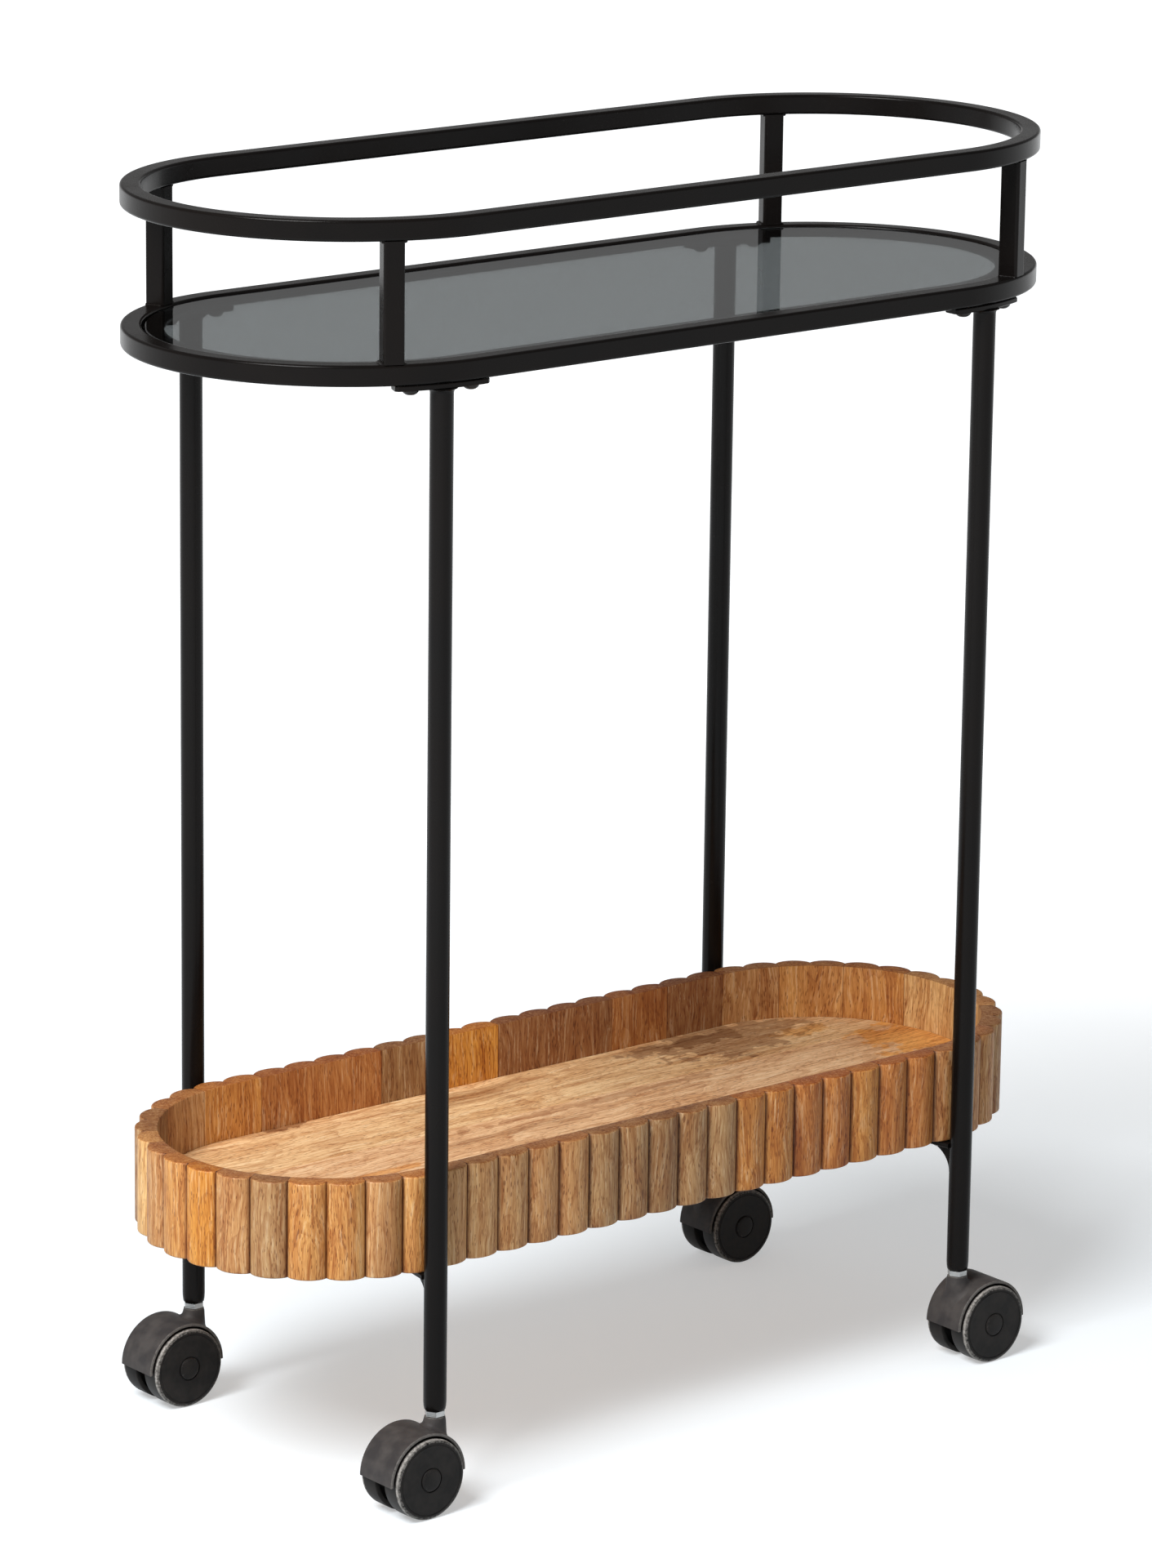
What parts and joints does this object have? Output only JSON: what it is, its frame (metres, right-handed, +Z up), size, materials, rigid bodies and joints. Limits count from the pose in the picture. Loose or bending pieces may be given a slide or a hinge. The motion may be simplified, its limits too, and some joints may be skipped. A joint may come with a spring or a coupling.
{
  "type": "bar cart",
  "caption": "Pill-shaped steel bar cart with a railed glass shelf above and a fluted wooden tray below, rolling on swivel casters.",
  "frame": {"origin": "on the floor under the middle of the cart", "axes": "+X along the cart's length to the right, +Y to its rear, +Z up"},
  "size_m": [0.64, 0.282, 0.78],
  "materials": {
    "powder_coat": "satin black powder coat",
    "smoked_glass": "polished grey-tinted float glass",
    "mango_wood": "oiled, sanded smooth",
    "zinc_plated_steel": "bright zinc plating",
    "black_bolt": "black oxide",
    "hood_nylon": "moulded, fine matte texture",
    "wheel_nylon": "moulded, worn at the tread"
  },
  "bodies": {
    "frame": {"caster_stem_front_left": "zinc_plated_steel", "caster_stem_front_right": "zinc_plated_steel", "caster_stem_rear_left": "zinc_plated_steel", "caster_stem_rear_right": "zinc_plated_steel", "floor_board_front": "mango_wood", "floor_board_middle": "mango_wood", "floor_board_rear": "mango_wood", "glass_shelf": "smoked_glass", "leg_bolt_front_left_inner": "black_bolt", "leg_bolt_front_left_outer": "black_bolt", "leg_bolt_front_right_inner": "black_bolt", "leg_bolt_front_right_outer": "black_bolt", "leg_bolt_rear_left_inner": "black_bolt", "leg_bolt_rear_left_outer": "black_bolt", "leg_bolt_rear_right_inner": "black_bolt", "leg_bolt_rear_right_outer": "black_bolt", "leg_front_left": "powder_coat", "leg_front_right": "powder_coat", "leg_plate_front_left": "powder_coat", "leg_plate_front_right": "powder_coat", "leg_plate_rear_left": "powder_coat", "leg_plate_rear_right": "powder_coat", "leg_rear_left": "powder_coat", "leg_rear_right": "powder_coat", "post_front_left": "powder_coat", "post_front_right": "powder_coat", "post_rear_left": "powder_coat", "post_rear_right": "powder_coat", "shelf_ledge": "powder_coat", "shelf_ring": "powder_coat", "threaded_insert_front_left": "zinc_plated_steel", "threaded_insert_front_right": "zinc_plated_steel", "threaded_insert_rear_left": "zinc_plated_steel", "threaded_insert_rear_right": "zinc_plated_steel", "top_rail": "powder_coat", "tray_bracket_front_left": "powder_coat", "tray_bracket_front_right": "powder_coat", "tray_bracket_rear_left": "powder_coat", "tray_bracket_rear_right": "powder_coat", "tray_screw_front_left": "zinc_plated_steel", "tray_screw_front_right": "zinc_plated_steel", "tray_screw_rear_left": "zinc_plated_steel", "tray_screw_rear_right": "zinc_plated_steel", "tray_wall": "mango_wood"},
    "caster_front_left": {"caster_hood_front_left": "hood_nylon", "caster_axle_front_left": "zinc_plated_steel"},
    "wheel_front_left_a": {"caster_wheel_front_left_a": "wheel_nylon"},
    "wheel_front_left_b": {"caster_wheel_front_left_b": "wheel_nylon"},
    "caster_front_right": {"caster_hood_front_right": "hood_nylon", "caster_axle_front_right": "zinc_plated_steel"},
    "wheel_front_right_a": {"caster_wheel_front_right_a": "wheel_nylon"},
    "wheel_front_right_b": {"caster_wheel_front_right_b": "wheel_nylon"},
    "caster_rear_left": {"caster_hood_rear_left": "hood_nylon", "caster_axle_rear_left": "zinc_plated_steel"},
    "wheel_rear_left_a": {"caster_wheel_rear_left_a": "wheel_nylon"},
    "wheel_rear_left_b": {"caster_wheel_rear_left_b": "wheel_nylon"},
    "caster_rear_right": {"caster_hood_rear_right": "hood_nylon", "caster_axle_rear_right": "zinc_plated_steel"},
    "wheel_rear_right_a": {"caster_wheel_rear_right_a": "wheel_nylon"},
    "wheel_rear_right_b": {"caster_wheel_rear_right_b": "wheel_nylon"}
  },
  "joints": [
    {"name": "swivel_front_left", "type": "hinge", "parent": "frame", "child": "caster_front_left", "pos_m": [-0.2109, -0.12197, 0.0575], "axis": [0, 0, 1], "continuous": true},
    {"name": "spin_front_left_a", "type": "hinge", "parent": "caster_front_left", "child": "wheel_front_left_a", "pos_m": [-0.2274, -0.12197, 0.025], "axis": [0, 1, 0], "continuous": true},
    {"name": "spin_front_left_b", "type": "hinge", "parent": "caster_front_left", "child": "wheel_front_left_b", "pos_m": [-0.2274, -0.12197, 0.025], "axis": [0, 1, 0], "continuous": true},
    {"name": "swivel_front_right", "type": "hinge", "parent": "frame", "child": "caster_front_right", "pos_m": [0.2109, -0.12197, 0.0575], "axis": [0, 0, 1], "continuous": true},
    {"name": "spin_front_right_a", "type": "hinge", "parent": "caster_front_right", "child": "wheel_front_right_a", "pos_m": [0.2274, -0.12197, 0.025], "axis": [0, 1, 0], "continuous": true},
    {"name": "spin_front_right_b", "type": "hinge", "parent": "caster_front_right", "child": "wheel_front_right_b", "pos_m": [0.2274, -0.12197, 0.025], "axis": [0, 1, 0], "continuous": true},
    {"name": "swivel_rear_left", "type": "hinge", "parent": "frame", "child": "caster_rear_left", "pos_m": [-0.2109, 0.12197, 0.0575], "axis": [0, 0, 1], "continuous": true},
    {"name": "spin_rear_left_a", "type": "hinge", "parent": "caster_rear_left", "child": "wheel_rear_left_a", "pos_m": [-0.2274, 0.12197, 0.025], "axis": [0, 1, 0], "continuous": true},
    {"name": "spin_rear_left_b", "type": "hinge", "parent": "caster_rear_left", "child": "wheel_rear_left_b", "pos_m": [-0.2274, 0.12197, 0.025], "axis": [0, 1, 0], "continuous": true},
    {"name": "swivel_rear_right", "type": "hinge", "parent": "frame", "child": "caster_rear_right", "pos_m": [0.2109, 0.12197, 0.0575], "axis": [0, 0, 1], "continuous": true},
    {"name": "spin_rear_right_a", "type": "hinge", "parent": "caster_rear_right", "child": "wheel_rear_right_a", "pos_m": [0.2274, 0.12197, 0.025], "axis": [0, 1, 0], "continuous": true},
    {"name": "spin_rear_right_b", "type": "hinge", "parent": "caster_rear_right", "child": "wheel_rear_right_b", "pos_m": [0.2274, 0.12197, 0.025], "axis": [0, 1, 0], "continuous": true}
  ]
}
